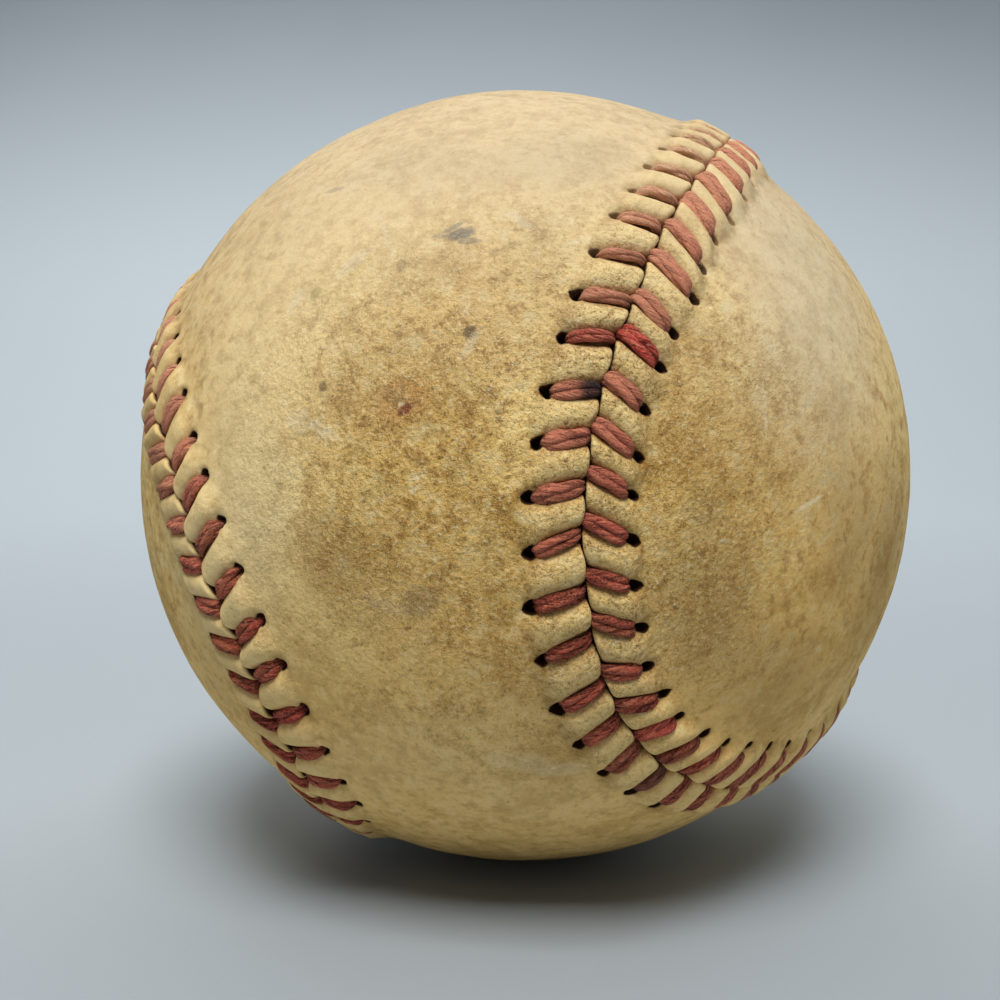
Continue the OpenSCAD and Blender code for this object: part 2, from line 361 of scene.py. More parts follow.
def build_border(side):
    """Points, faces and painted values of a panel's stitched border."""
    column = np.arange(COLUMNS, dtype=float)
    across, radius, pit = border_rows(side, column)
    columns = np.broadcast_to(column, across.shape).copy()
    pad = pad_shape(side, columns, across)[1]
    punch_holes(side, columns, across, radius, pit)
    d = place(side, columns, across)
    calm = smooth(radius - FLESH_R)
    fine = 1 - smooth((across - FINE_END) / FINE_FADE_W)
    points = d * (radius + ripple(d * BALL_R, fine) * calm)[..., None]
    index = np.arange(across.size).reshape(across.shape)
    paint = {"pit": pit.ravel(), "pad": pad.ravel(), "across": across.ravel()}
    return points.reshape(-1, 3), grid_quads(index), index, paint


def ladder(fine, coarse):
    """Triangles between a closed row and one with a whole-number share of its points."""
    ratio = len(fine) // len(coarse)
    faces = []
    for k, here in enumerate(coarse):
        after = coarse[(k + 1) % len(coarse)]
        strip = [fine[(k * ratio + j) % len(fine)] for j in range(ratio + 1)]
        half = (ratio + 1) // 2
        faces += [(strip[j], strip[j + 1], here) for j in range(half)]
        faces.append((strip[half], after, here))
        faces += [(strip[j], strip[j + 1], after) for j in range(half, ratio)]
    return faces


def ball_dirs(spacing):
    """Directions spread evenly over a ball."""
    n = int(4 * math.pi * BALL_R**2 / (spacing**2 * 0.9))
    k = np.arange(n) + 0.5
    z = 1 - 2 * k / n
    turn = k * math.pi * (3 - math.sqrt(5))
    r = np.sqrt(1 - z * z)
    return np.stack([r * np.cos(turn), r * np.sin(turn), z], -1)


# Points of the seam, eight to a stitch, and the way to side 1 at each
SEAM_DIRS, _, SEAM_SIDEWAYS = seam_frame(np.arange(0, STITCHES, 0.125))
# How many directions are compared with the seam at a time
BATCH = 4000


def fill(side, rim, rim_w, spacing):
    """Directions and triangles that fill a row at rim_w from the seam, on one panel's side."""
    d = ball_dirs(spacing)
    keep = []
    for k in range(0, len(d), BATCH):
        part = d[k : k + BATCH]
        dots = part @ SEAM_DIRS.T
        near = np.argmax(dots, 1)
        inside = np.einsum("ij,ij->i", part, SEAM_SIDEWAYS[near]) * side > 0
        far = np.arccos(np.clip(dots[np.arange(len(part)), near], -1, 1)) * BALL_R
        keep.append(inside & (far > rim_w + spacing / 2))
    d = d[np.concatenate(keep)]
    every = np.concatenate([rim, d])
    flat = every[:, :2] / (1 + side * every[:, 2:3])
    edges = [(i, (i + 1) % len(rim)) for i in range(len(rim))]
    made = delaunay_2d_cdt([Vector(p) for p in flat], edges, [], 1, 1e-9)
    back = [o[0] for o in made[3]]
    return d, [[back[i] for i in face] for face in made[2]]


def outward(points, faces, sign):
    """The faces, each turned so that it looks away from the ball's centre, or towards it."""
    f = np.array(faces)
    a, b, c = points[f[:, 0]], points[f[:, 1]], points[f[:, 2]]
    wrong = np.einsum("ij,ij->i", np.cross(b - a, c - a), a + b + c) * sign < 0
    f[wrong] = f[wrong][:, ::-1]
    return f


def stand(name, data):
    """A new object of the scene."""
    made = bpy.data.objects.new(name, data)
    scene.collection.objects.link(made)
    return made


def make_object(name, points, faces, paint, material, stands_for, uv=None):
    """A closed mesh from points in millimetres, riding on the ball's body."""
    mesh = bpy.data.meshes.new(name)
    flat = []
    for group in faces:
        flat += group.tolist() if isinstance(group, np.ndarray) else list(group)
    mesh.from_pydata((points * METRE).tolist(), [], flat)
    mesh.polygons.foreach_set("use_smooth", np.ones(len(flat), bool))
    for key, values in paint.items():
        painted = mesh.attributes.new(key, "FLOAT", "POINT")
        painted.data.foreach_set("value", np.asarray(values, np.float32))
    if uv is not None:
        layer = mesh.uv_layers.new(name="fibre")
        layer.data.foreach_set("uv", np.asarray(uv, np.float32).ravel())
    mesh.materials.append(material)
    mesh.update()
    piece = stand(name, mesh)
    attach(piece, "root")
    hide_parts(*stands_for)


# A panel's outer and flesh sides inside the border: distance of their rim from the seam, columns from one
# of its points to the next, and spacing of the points inside
OUTER_FILL, FLESH_FILL = (BORDER_W, 2, 0.66), (1.2, 5, 2.2)
# The distance from the seam that is painted on those points
FAR_ACROSS = 9.0


def sheet(side, rim_w, every, spacing):
    """Directions of a sheet's points, how many of them are its rim, and its triangles."""
    columns = np.arange(0, COLUMNS, every, dtype=float)
    rim = place(side, columns, np.full(len(columns), rim_w))
    dirs, faces = fill(side, rim, rim_w, spacing)
    return np.concatenate([rim, dirs]), len(rim), faces


def build_panel(name, side, node, material):
    points, quads, index, paint = build_border(side)
    broad, broad_rim, broad_faces = sheet(side, *OUTER_FILL)
    flesh, flesh_rim, flesh_faces = sheet(side, *FLESH_FILL)
    broad_points = broad * (BALL_R + ripple(broad * BALL_R, 0))[:, None]
    every = np.concatenate([points, broad_points, flesh * FLESH_R])
    broad_start = len(points)
    flesh_start = broad_start + len(broad)
    outer = ladder(index[-1].tolist(), list(range(broad_start, broad_start + broad_rim)))
    outer += [[i + broad_start for i in face] for face in broad_faces]
    inner = ladder(index[0].tolist(), list(range(flesh_start, flesh_start + flesh_rim)))
    inner += [[i + flesh_start for i in face] for face in flesh_faces]
    # One quad on top shows which way the border's quads look
    top = index[len(WALL_SHARES) + len(ROUND_TURNS) + 2]
    probe = np.array([[top[0], top[1], top[1] + COLUMNS, top[0] + COLUMNS]])
    if not (outward(every, probe, 1) == probe).all():
        quads = quads[:, ::-1]
    groups = [quads, outward(every, outer, 1), outward(every, inner, -1)]
    rest = len(broad) + len(flesh)
    inside = {"pit": 0.0, "pad": 0.0, "across": FAR_ACROSS}
    paint = {key: np.concatenate([paint[key], np.full(rest, value)]) for key, value in inside.items()}
    make_object(name, every @ REST.T, groups, paint, material, [node])


# A leg of the stitching, from under its hole to under the seam: across, height, size
LEG_PATHS = {
    -1: [
        (3.50, -1.50, 0.55), (3.48, -0.80, 0.62), (3.42, -0.22, 0.86), (3.28, 0.14, 1.0), (2.98, 0.38, 1.06),
        (2.40, 0.47, 1.06), (1.70, 0.50, 1.0), (1.10, 0.48, 0.93), (0.60, 0.42, 0.86), (0.26, 0.22, 0.76),
        (0.08, -0.20, 0.64), (0.02, -0.75, 0.60), (0.0, -1.50, 0.60),
    ],
    1: [
        (3.36, -1.50, 0.55), (3.34, -0.80, 0.62), (3.28, -0.22, 0.90), (3.14, 0.16, 1.06), (2.86, 0.42, 1.10),
        (2.30, 0.52, 1.10), (1.70, 0.56, 1.09), (1.00, 0.58, 1.10), (0.48, 0.55, 1.08), (0.16, 0.38, 1.0),
        (0.0, 0.02, 0.82), (-0.02, -0.65, 0.62), (0.0, -1.50, 0.60),
    ],
}
LEG_RINGS = 21
STRANDS, STRAND_SIDES = 3, 12
# A strand's place in its leg, sideways and in height, and its half width and half height
STRAND_SPREAD, STRAND_STACK = 0.39, 0.14
STRAND_WIDE, STRAND_HIGH = 0.35, 0.28
# Roughness of a strand, and how its bumps are drawn out along it
STRAND_ROUGH, BUMP_SHARE = 0.26, 0.22
# Loose fibres of a leg, the points along one, and its half thickness at either end
FIBRES, FIBRE_RINGS, FIBRE_THICK = 5, 5, (0.020, 0.007)
# The run under the leather: points along it, half width and half height
RUN_RINGS, RUN_WIDE, RUN_HIGH = 7, 0.36, 0.2
# What the fibre map takes for the way round a strand and for a run's length
STRAND_GIRTH, RUN_LENGTH = 1.8, 4.5


def leg_line(side, leg):
    """Points in the middle of a leg, its frame, its size and the way gone, from hole to seam."""
    path = np.array(LEG_PATHS[side])
    walked = np.concatenate([[0], np.cumsum(np.hypot(*np.diff(path[:, :2], axis=0).T))])
    t = np.linspace(0, walked[-1], LEG_RINGS)
    across, height, size = (np.interp(t, walked, path[:, i]) for i in range(3))
    for _ in range(2):
        for row in (across, height, size):
            row[1:-1] = (row[:-2] + 2 * row[1:-1] + row[2:]) / 4
    column = np.full(LEG_RINGS, float(leg * PER))
    d = place(side, column, across)
    line = d * (BALL_R + height)[:, None]
    ahead = unit(np.gradient(line, axis=0))
    _, along, _ = seam_frame(np.full(LEG_RINGS, FIRST + leg))
    wide = unit(along - np.einsum("ij,ij->i", along, ahead)[:, None] * ahead)
    high = np.cross(ahead, wide)
    flip = np.sign(high[LEG_RINGS // 2] @ d[LEG_RINGS // 2])
    return line, wide, high * flip, size, t / walked[-1]


class Tubes:
    """Closed tubes gathered into one mesh, with painted values and a fibre map."""

    def __init__(self):
        self.points, self.faces, self.uv = [], [], []
        self.paint = {key: [] for key in ("tone", "grime", "stain", "fade")}
        self.count = 0

    def add(self, rings, length, girth, tone, grime, stain=0.0, fade=0.0):
        n, sides = rings.shape[:2]
        start = self.count
        self.points += [rings.reshape(-1, 3), rings[[0, -1]].mean(1)]
        index = start + np.arange(n * sides).reshape(n, sides)
        low, high = start + n * sides, start + n * sides + 1
        caps = [(low, index[0, (k + 1) % sides], index[0, k]) for k in range(sides)]
        caps += [(high, index[-1, k], index[-1, (k + 1) % sides]) for k in range(sides)]
        self.faces += grid_quads(index).tolist() + caps
        u = np.arange(sides) / sides * girth
        v = np.linspace(0, length, n)
        uu, vv = np.meshgrid(u, v)
        du, dv = girth / sides, length / max(n - 1, 1)
        corner = np.stack([uu[:-1], vv[:-1]], -1)
        steps = np.array([(0, 0), (du, 0), (du, dv), (0, dv)])
        self.uv.append((corner[:, :, None, :] + steps).reshape(-1, 2))
        self.uv.append(np.zeros((2 * sides * 3, 2)))
        for key, value in zip(self.paint, (tone, grime, stain, fade)):
            per_ring = np.broadcast_to(np.asarray(value, float), (n,))
            self.paint[key].append(np.concatenate([np.repeat(per_ring, sides), per_ring[[0, -1]]]))
        self.count += n * sides + 2


def sweep(line, wide, high, half_wide, half_high, sides, rough=0.0, seed_at=0.0):
    """Rings of points round a line, with bumps where it is rough."""
    turn = np.arange(sides) / sides * 2 * math.pi
    x = half_wide[:, None] * np.cos(turn)
    y = half_high[:, None] * np.sin(turn)
    ring = line[:, None, :] + wide[:, None, :] * x[..., None] + high[:, None, :] * y[..., None]
    if rough:
        out = ring - line[:, None, :]
        local = np.stack([x, y, way_along(line)[:, None] * BUMP_SHARE + 0 * turn], -1)
        bump = noise(local + seed_at, 0.2, 0) * 0.8 + noise(local + seed_at, 0.5, 1) * 0.5
        ring = line[:, None, :] + out * (1 + rough * bump)[..., None]
    return ring


# Legs of the photograph that stand out: side and leg, with tone, grime, fade, dark stain and its start
LEGS_APART = {
    (1, 74): (1.0, 0.05, 0.0, 0.0, 0.5),
    (-1, 74): (0.85, 0.15, 0.2, 0.0, 0.5),
    (-1, 75): (0.35, 0.2, 0.45, 1.0, 0.47),
    (-1, 84): (0.2, 0.2, 0.4, 0.5, -1.0),
    (-1, 79): (0.25, 0.35, 0.0, 0.0, 0.5),
    (-1, 80): (0.3, 0.35, 0.0, 0.0, 0.5),
}
# Widths of legs against the rest: thin at the upper left, from leg THIN_FROM on
THIN_FROM, THIN_SHARES = 67, (0.65, 0.65, 0.65, 0.68, 0.78, 0.60, 0.85, 0.72)
WIDTH_SHARES = {(-1, THIN_FROM + k): share for k, share in enumerate(THIN_SHARES)}
# Legs of the lower right lie broad, and so do those on top at the seam's right
for leg in range(87, 98):
    WIDTH_SHARES[(-1, leg)] = WIDTH_SHARES[(1, leg)] = 1.38
for leg in range(56, 71):
    WIDTH_SHARES[(1, leg)] = 1.22
# Legs on top at the seam's left are bleached nearly to the leather's colour
BLEACH_LEGS, BLEACH_SHARES = (53, 58, 67, 72), (0.0, 0.7, 0.6, 0.0)
# How far the dye has faded, by leg: most where the seam crosses the ball's upper side
FADE_LEGS = (0, 29, 31, 33, 36, 62, 71, 76, 79, 85, 90, 100, 108)
FADE_SHARES = (0.1, 0.0, 0.25, 0.6, 1.0, 1.0, 0.9, 0.45, 0.05, 0.1, 0.55, 0.4, 0.1)


def leg_looks(draw, side, leg):
    """A leg's width, and its tone, grime, fade, dark stain and where along it the stain starts."""
    tone = float(np.clip(0.45 + 0.2 * draw.standard_normal(), 0, 0.9))
    grime = float(draw.uniform(0, 0.35))
    width = (1 + 0.06 * draw.standard_normal()) * WIDTH_SHARES.get((side, leg), 1)
    fade = float(np.interp(leg, FADE_LEGS, FADE_SHARES))
    if side < 0:
        fade += float(np.interp(leg, BLEACH_LEGS, BLEACH_SHARES))
    return width, *LEGS_APART.get((side, leg), (tone, grime, fade, 0.0, 0.5))


def add_strands(tubes, draw, side, leg):
    """A leg's twisted strands. Gives back its line and frame, its tone and how far it has faded."""
    line, wide, high, size, share = leg_line(side, leg)
    turn_0 = draw.uniform(0, 2 * math.pi)
    twist = draw.uniform(0.55, 1.0) * math.pi
    width, leg_tone, leg_grime, fade, stain, stain_from = leg_looks(draw, side, leg)
    # Darker towards both ends, where a leg dips into its hole and under the seam
    dark_ends = np.exp(-((share / 0.22) ** 2)) + np.exp(-(((1 - share) / 0.24) ** 2))
    length = float(np.linalg.norm(np.diff(line, axis=0), axis=1).sum())
    spread = STRAND_SPREAD * size * width
    stack = STRAND_STACK * size
    half_wide = STRAND_WIDE * size * width
    half_high = STRAND_HIGH * size
    dirty = np.clip(leg_grime + 0.75 * dark_ends, 0, 1)
    stained = stain * smooth((share - stain_from) / 0.12)
    faded = fade * (0.5 + 0.6 * share if side > 0 else 1.1 - 0.3 * share)
    for k in range(STRANDS):
        psi = turn_0 + 2 * math.pi * k / STRANDS + twist * share
        wander = 0.07 * noise(line + 31.7 * k, 0.8, 2)
        sideways = wide * (spread * np.cos(psi) + wander)[:, None]
        middle = line + sideways + high * (stack * np.sin(psi))[:, None]
        seed_at = 13.1 * k + 3.7 * leg
        rings = sweep(middle, wide, high, half_wide, half_high, STRAND_SIDES, STRAND_ROUGH, seed_at)
        tone = np.clip(leg_tone + 0.12 * draw.standard_normal(), 0, 1)
        tubes.add(rings, length, STRAND_GIRTH, tone, dirty, stained, faded)
    return line, wide, high, leg_tone, fade


def add_fibres(tubes, draw, line, wide, high, tone, fade):
    """Loose fibres that stand off a leg."""
    for _ in range(FIBRES):
        at = int(draw.integers(5, LEG_RINGS - 6))
        psi = draw.uniform(0.1, math.pi - 0.1)
        out = wide[at] * math.cos(psi) + high[at] * math.sin(psi)
        start = line[at] + wide[at] * 0.55 * math.cos(psi) + high[at] * 0.33 * math.sin(psi)
        run = unit(line[at + 1] - line[at - 1]) * draw.choice([-1, 1])
        reach = draw.uniform(0.35, 0.9)
        sway = draw.uniform(-0.4, 0.4)
        s = np.linspace(0, 1, FIBRE_RINGS)[:, None]
        rise = out * (0.45 * s - 0.35 * s**2)
        hair = start + reach * (run * s * 0.9 + rise + wide[at] * sway * s**2)
        ahead = unit(np.gradient(hair, axis=0))
        sideways = unit(np.cross(ahead, high[at] + 0.3 * wide[at]))
        up = np.cross(ahead, sideways)
        thin = np.linspace(*FIBRE_THICK, FIBRE_RINGS)
        rings = sweep(hair, sideways, up, thin, thin, 3)
        tubes.add(rings, reach, 0.1, min(1.0, tone + 0.25), 0.0, 0.0, fade)


def add_run(tubes, side, leg):
    """The thread's run under the leather, from a leg to the next one's hole on the other side."""
    begin = cover_dir(np.array([FIRST + leg - LEAD[side] / PITCH]), np.array([0.0]))[0]
    end = place(-side, np.array([(leg - 1.0) * PER]), np.array([REACH]))[0]
    s = np.linspace(-0.06, 1.06, RUN_RINGS)[:, None]
    run = unit(begin * (1 - s) + end * s) * UNDER_R
    ahead = unit(np.gradient(run, axis=0))
    up = unit(run)
    half_wide, half_high = np.full(RUN_RINGS, RUN_WIDE), np.full(RUN_RINGS, RUN_HIGH)
    rings = sweep(run, np.cross(ahead, up), up, half_wide, half_high, 8)
    tubes.add(rings, RUN_LENGTH, STRAND_GIRTH, 0.4, 0.8)


def build_thread(name, first, node, material):
    tubes = Tubes()
    draw = np.random.default_rng(SEED + 40 + first)
    for leg in range(STITCHES):
        side = first if leg % 2 == 0 else -first
        leg_made = add_strands(tubes, draw, side, leg)
        add_fibres(tubes, draw, *leg_made)
        add_run(tubes, side, leg)
    points = np.concatenate(tubes.points) @ REST.T
    paint = {key: np.concatenate(values) for key, values in tubes.paint.items()}
    uv = np.concatenate(tubes.uv)
    make_object(name, points, [tubes.faces], paint, material, [node], uv)


class Paint:
    """A material's nodes, made one by one, and the colour laid on so far as its base."""

    def __init__(self, name):
        self.material = bpy.data.materials.new(name)
        self.material.use_nodes = True
        self.tree = self.material.node_tree
        self.tree.nodes.clear()
        self.base = None

    def plug(self, node, key, value):
        socket = node.inputs[key]
        if isinstance(value, bpy.types.NodeSocket):
            self.tree.links.new(value, socket)
        else:
            socket.default_value = value

    def node(self, kind, settings=None, **plugs):
        made = self.tree.nodes.new("ShaderNode" + kind)
        for key, value in (settings or {}).items():
            setattr(made, key, value)
        for key, value in plugs.items():
            self.plug(made, key.replace("_", " "), value)
        return made

    def math(self, operation, a, b=0.0, c=0.0, clamp=False):
        made = self.node("Math", {"operation": operation, "use_clamp": clamp})
        for i, value in enumerate((a, b, c)):
            self.plug(made, i, value)
        return made.outputs[0]

    def times(self, a, b, clamp=False):
        return self.math("MULTIPLY", a, b, clamp=clamp)

    def times_plus(self, a, b, c, clamp=False):
        return self.math("MULTIPLY_ADD", a, b, c, clamp)

    def vector(self, operation, a, b=(0, 0, 0), output=0):
        made = self.node("VectorMath", {"operation": operation})
        self.plug(made, 0, a)
        self.plug(made, 1, b)
        return made.outputs[output]

    def noise(self, at, scale, detail=3.0, rough=0.55, warp=0.0, out="Fac"):
        made = self.node("TexNoise", Vector=at, Scale=scale, Detail=detail, Roughness=rough, Distortion=warp)
        return made.outputs[out]

    def ramp(self, value, low, high, to_low=0.0, to_high=1.0):
        ends = {"From_Min": low, "From_Max": high, "To_Min": to_low, "To_Max": to_high}
        return self.node("MapRange", {"interpolation_type": "SMOOTHSTEP"}, Value=value, **ends).outputs[0]

    def mix(self, share, a, b, blend="MIX"):
        """Mixes two colours: sockets, screen colours of three values or linear ones of four."""
        made = self.node("Mix", {"data_type": "RGBA", "blend_type": blend, "clamp_factor": True})
        self.plug(made, 0, share)
        for key, value in ((6, a), (7, b)):
            screen_colour = isinstance(value, tuple) and len(value) == 3
            self.plug(made, key, colour(*value) if screen_colour else value)
        return made.outputs[2]

    def mapped(self, at, place, turns, scale):
        """Where a point lies for a pattern that is moved, turned and drawn out."""
        plugs = {"Location": place, "Rotation": turns, "Scale": scale}
        return self.node("Mapping", {"vector_type": "TEXTURE"}, Vector=at, **plugs).outputs[0]

    def value(self, name):
        return self.node("Attribute", {"attribute_name": name}).outputs["Fac"]

    def millimetres(self):
        at = self.node("TexCoord").outputs["Object"]
        return self.vector("MULTIPLY", at, (1000, 1000, 1000))

    def lay(self, share, tint, blend="MIX"):
        """Lays a colour over the base as strongly as a share says."""
        self.base = self.mix(share, self.base, tint, blend)

    def stain(self, value, low, high, most, tint, by=None):
        """Lays a colour over the base as a value goes from low to high, and by another value if given."""
        share = self.ramp(value, low, high, 0, most)
        self.lay(share if by is None else self.times(share, by), tint)

    def finish(self, rough, height, depth, **plugs):
        """Ends in a Principled shader with a bump of that height map and depth in metres."""
        bump = self.node("Bump", Strength=1.0, Distance=depth, Height=height).outputs[0]
        shader = self.node("BsdfPrincipled", Base_Color=self.base, Roughness=rough, Normal=bump, **plugs)
        self.node("OutputMaterial", Surface=shader.outputs[0])
        return self.material


def colour(r, g, b):
    """A colour chosen in the 0 to 255 scale of a screen, as Blender's linear colour."""
    def linear(c):
        c = c / 255
        return c / 12.92 if c <= 0.04045 else ((c + 0.055) / 1.055) ** 2.4

    return (linear(r), linear(g), linear(b), 1)


def on_ball(x, y):
    """The point of the ball, in millimetres, that a pixel of the photograph shows."""
    focal = CAMERA_LENS / SENSOR * PHOTO_SIDE
    way = Vector(((x - PHOTO_SIDE / 2) / focal, (PHOTO_SIDE / 2 - y) / focal, -1)).normalized()
    way.rotate(Euler((CAMERA_TILT, 0, 0)))
    start = CAMERA_AT / METRE
    half = way.dot(start)
    left = half * half - start.dot(start) + BALL_R**2
    return start + way * (-half - math.sqrt(max(left, 0)))


def lie_at(point, turn):
    """Turns of a patch that lies on the ball at a point, its length turned from the horizontal."""
    out = point.normalized()
    level = Vector((0, 0, 1)).cross(out)
    level = level.normalized() if level.length > 0.01 else Vector((1, 0, 0))
    up = out.cross(level)
    a = math.radians(turn)
    x = level * math.cos(a) + up * math.sin(a)
    y = out.cross(x)
    return Matrix((x, y, out)).transposed().to_euler()


# Broad tones of the worn leather, some of them painted light and highlights as marked: the photograph's
# pixel, half length and half width in mm, turn in degrees, colour, strength
CREAM, WHEAT, CHALK = (243, 216, 156), (238, 204, 130), (214, 200, 170)
BROWN, DEEP, SMUDGE = (150, 113, 56), (110, 79, 36), (150, 130, 100)
TONES = [
    # Painted highlight: a pale, hazy top
    (520, 150, 26, 14, 0, CREAM, 0.4),
    (300, 260, 16, 12, 40, CREAM, 0.45),
    # Painted highlight: a pale, greyish patch on the upper right
    (810, 280, 11, 18, -20, CHALK, 0.65),
    # Painted light: this pales the ball's left side
    (250, 500, 5, 14, 20, CREAM, 0.35),
    (540, 800, 12, 5, 0, CREAM, 0.35),
    (410, 570, 11, 9, 40, BROWN, 0.25),
    # Painted light: these two pale the ball's left side
    (215, 590, 8, 15, 20, CREAM, 0.8),
    (255, 430, 9, 14, 0, CREAM, 0.5),
    (400, 370, 9, 6, 20, BROWN, 0.35),
    (240, 700, 8, 10, 30, BROWN, 0.3),
    (700, 600, 7, 9, 0, DEEP, 0.45),
    (770, 680, 10, 6, -30, DEEP, 0.4),
    (850, 520, 5, 9, 0, BROWN, 0.45),
    (760, 430, 10, 9, 0, BROWN, 0.35),
    (560, 720, 7, 9, 20, BROWN, 0.35),
    (885, 560, 5, 12, 0, BROWN, 0.5),
    (380, 760, 12, 6, 20, CREAM, 0.35),
    # Painted light: these three pale the ball's left side and lower left
    (250, 500, 5, 9, 10, CREAM, 0.75),
    (330, 640, 9, 8, 0, WHEAT, 0.55),
    (230, 560, 5, 9, 20, CREAM, 0.55),
    (332, 555, 3.2, 4.0, 0, BROWN, 0.4),
    (515, 292, 5.5, 10, 0, BROWN, 0.22),
    (560, 158, 7, 5, 15, SMUDGE, 0.4),
    (430, 165, 8, 4.5, 0, SMUDGE, 0.25),
]
# Small marks, in the same form
INK, RUST, MOSS, PALE = (50, 54, 62), (134, 66, 30), (160, 140, 62), (236, 222, 186)
BRUISE, AMBER = (112, 92, 74), (192, 134, 66)
MARKS = [
    (460, 234, 1.35, 0.7, 20, INK, 0.95),
    (452, 228, 1.3, 0.3, 35, INK, 0.7),
    (468, 241, 1.0, 0.35, 5, INK, 0.65),
    (441, 236, 0.8, 0.25, 0, INK, 0.55),
    (470, 332, 0.6, 0.65, 0, DEEP, 1.0),
    (335, 190, 1.0, 0.35, 10, INK, 0.5),
    (323, 387, 0.45, 0.4, 0, DEEP, 0.85),
    (401, 265, 0.5, 0.7, 0, DEEP, 0.5),
    (315, 293, 0.6, 0.7, 0, MOSS, 0.7),
    (402, 400, 2.6, 2.0, 20, AMBER, 0.55),
    (395, 398, 1.2, 0.7, -35, BROWN, 0.7),
    (406, 409, 0.85, 0.46, 35, RUST, 1.0),
    (403, 388, 1.1, 0.22, 95, BROWN, 0.55),
    (402, 404, 0.3, 0.2, 30, PALE, 0.45),
    (297, 418, 1.3, 0.8, 20, PALE, 0.34),
    (322, 430, 1.8, 0.6, -25, PALE, 0.34),
    (420, 602, 1.9, 1.4, 30, BRUISE, 0.48),
    (386, 606, 2.2, 0.7, -15, PALE, 0.18),
    (765, 405, 2.6, 0.25, 85, PALE, 0.35),
    (501, 664, 0.22, 0.22, 0, DEEP, 0.8),
    (481, 711, 0.2, 0.2, 0, DEEP, 0.8),
    (676, 608, 0.4, 0.2, -20, DEEP, 0.7),
    (810, 503, 2.2, 0.22, 20, PALE, 0.55),
    (845, 538, 0.8, 0.25, -60, DEEP, 0.4),
    (385, 232, 3.2, 0.25, -60, PALE, 0.35),
    (560, 770, 2.4, 1.0, 10, PALE, 0.5),
    (520, 762, 3.4, 1.3, -8, PALE, 0.42),
    (470, 345, 1.6, 0.5, 60, PALE, 0.35),
    (520, 220, 1.8, 0.5, -40, PALE, 0.4),
    (352, 262, 2.2, 0.7, 50, PALE, 0.42),
    (296, 300, 1.6, 0.5, 70, PALE, 0.4),
    (310, 425, 1.8, 0.25, 30, PALE, 0.4),
]
FAR_DRAW = np.random.default_rng(SEED + 90)


def far_marks(kinds, count, sizes):
    """Marks in turn of each colour, at random places of the far side."""
    made = []
    for k in range(count):
        out = unit(FAR_DRAW.standard_normal(3))
        out[1] = abs(out[1]) + 0.25
        at = Vector(unit(out) * BALL_R)
        long_half = FAR_DRAW.uniform(*sizes)
        short_half = long_half * FAR_DRAW.uniform(0.4, 1)
        turn = FAR_DRAW.uniform(-90, 90)
        made.append((at, long_half, short_half, turn, kinds[k % len(kinds)], FAR_DRAW.uniform(0.3, 0.6)))
    return made


# A spot's gradient falls from 1 in its middle to 0 at this many of its half sizes
SPOT_REACH = 2.5
# Spots with a longer half length, in mm, are broad tones
BROAD_FROM = 4
# Raggedness of a broad tone's and a mark's edge, and where it is faint and full, in half sizes
TONE_EDGE, MARK_EDGE = (0.9, 1.25, 0.2), (0.7, 1.1, 0.55)
# Depth of each material's bump, in metres
LEATHER_NAP, THREAD_NAP, INNER_NAP, TABLE_NAP = 0.00022, 0.0005, 0.00015, 0.00002


def leather_ground(p):
    """The noises that the leather's layers share, from broad to fine, and its first colour."""
    p.at = p.millimetres()
    p.broad = p.noise(p.at, 0.045, 4, 0.6, 0.4)
    p.patch = p.noise(p.at, 0.16, 6, 0.62, 0.6)
    p.mottle = p.noise(p.at, 0.55, 5, 0.65)
    p.cloud = p.noise(p.at, 1.1, 7, 0.74, 0.3)
    p.speck = p.noise(p.at, 3.0, 4, 0.7, 0.3)
    p.dust = p.noise(p.at, 8.0, 2, 0.6)
    p.height_of = p.node("SeparateXYZ", Vector=p.at).outputs[2]
    # Grain is crisp at the front and the back and rubbed smoother at the sides
    depth = p.math("ABSOLUTE", p.vector("DOT_PRODUCT", p.at, (0.04, 0.999, 0.0), output=1))
    p.crisp = p.ramp(p.times_plus(p.broad, 8.0, depth), 29.5, 41.0, 0.18, 1.0)
    p.base = p.mix(p.ramp(p.broad, 0.35, 0.65), (234, 190, 106), (245, 209, 131))


def leather_clouds(p):
    """Brown and pale clouds of several sizes, and short pale scuffs that run along the ball."""
    p.stain(p.patch, 0.46, 0.68, 0.80, (194, 151, 74))
    p.stain(p.mottle, 0.50, 0.68, 0.72, (176, 128, 56))
    p.stain(p.mottle, 0.47, 0.30, 0.72, (238, 214, 152))
    p.stain(p.cloud, 0.53, 0.67, 0.72, (162, 116, 54))
    p.stain(p.cloud, 0.47, 0.32, 0.70, (242, 220, 162))
    hue = p.noise(p.at, 0.28, 5, 0.6, 0.3)
    p.stain(hue, 0.52, 0.66, 0.32, (190, 146, 82))
    p.stain(hue, 0.46, 0.34, 0.28, (196, 176, 120))
    drawn = p.mapped(p.at, (0, 0, 0), (0.5, -0.4, 0.6), (3.2, 1.0, 1.0))
    scuff = p.noise(drawn, 1.0, 6, 0.72, 0.2)
    scuffed = p.times(p.ramp(scuff, 0.57, 0.68, 0, 0.6), p.ramp(p.patch, 0.58, 0.42, 0.15, 1.0))
    p.lay(scuffed, (242, 226, 184))


